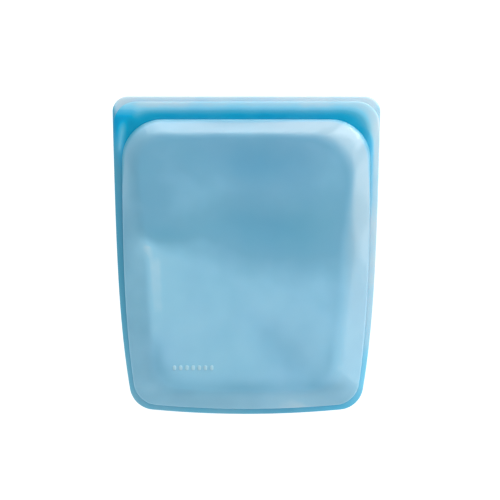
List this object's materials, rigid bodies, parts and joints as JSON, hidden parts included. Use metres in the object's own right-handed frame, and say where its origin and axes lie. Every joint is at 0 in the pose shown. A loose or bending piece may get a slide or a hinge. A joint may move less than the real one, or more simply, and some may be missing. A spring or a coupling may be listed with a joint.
{
  "type": "reusable silicone bag",
  "caption": "Reusable silicone food bag with bulged front and back walls, a fused flat rim, a pinch closure and two pull lips.",
  "frame": {"origin": "middle of the bag's box, on the surface that its back lies on", "axes": "+X across the bag, +Y from its closed end to its mouth, +Z the way its front panel faces"},
  "size_m": [0.2128, 0.2524, 0.0369],
  "materials": {
    "silicone_body": "translucent blue silicone, satin",
    "silicone_seam": "translucent blue silicone, satin, a little deeper",
    "silicone_closure": "saturated blue silicone, satin",
    "silicone_lip": "pale blue silicone, satin",
    "silicone_mark": "pale blue silicone, satin"
  },
  "bodies": {
    "back_half": {"back_wall": "silicone_body", "side_seam": "silicone_seam", "mouth_end_left": "silicone_closure", "mouth_end_right": "silicone_closure", "back_closure_strip": "silicone_closure", "seal_rib": "silicone_closure"},
    "front_half": {"front_wall": "silicone_body", "front_closure_strip": "silicone_closure", "seal_channel": "silicone_closure", "front_lip": "silicone_lip", "raised_mark": "silicone_mark"},
    "back_lip_flap": {"back_lip": "silicone_lip"}
  },
  "joints": [
    {"name": "mouth_open", "type": "hinge", "parent": "back_half", "child": "front_half", "pos_m": [0, -0.1214, 0.01965], "axis": [1, 0, 0], "range_deg": [0, 10], "stiffness_Nm_per_rad": 0.5},
    {"name": "back_lip_fold", "type": "hinge", "parent": "back_half", "child": "back_lip_flap", "pos_m": [0, 0.1168, 0.01655], "axis": [-1, 0, 0], "range_deg": [0, 60], "stiffness_Nm_per_rad": 0.1}
  ]
}
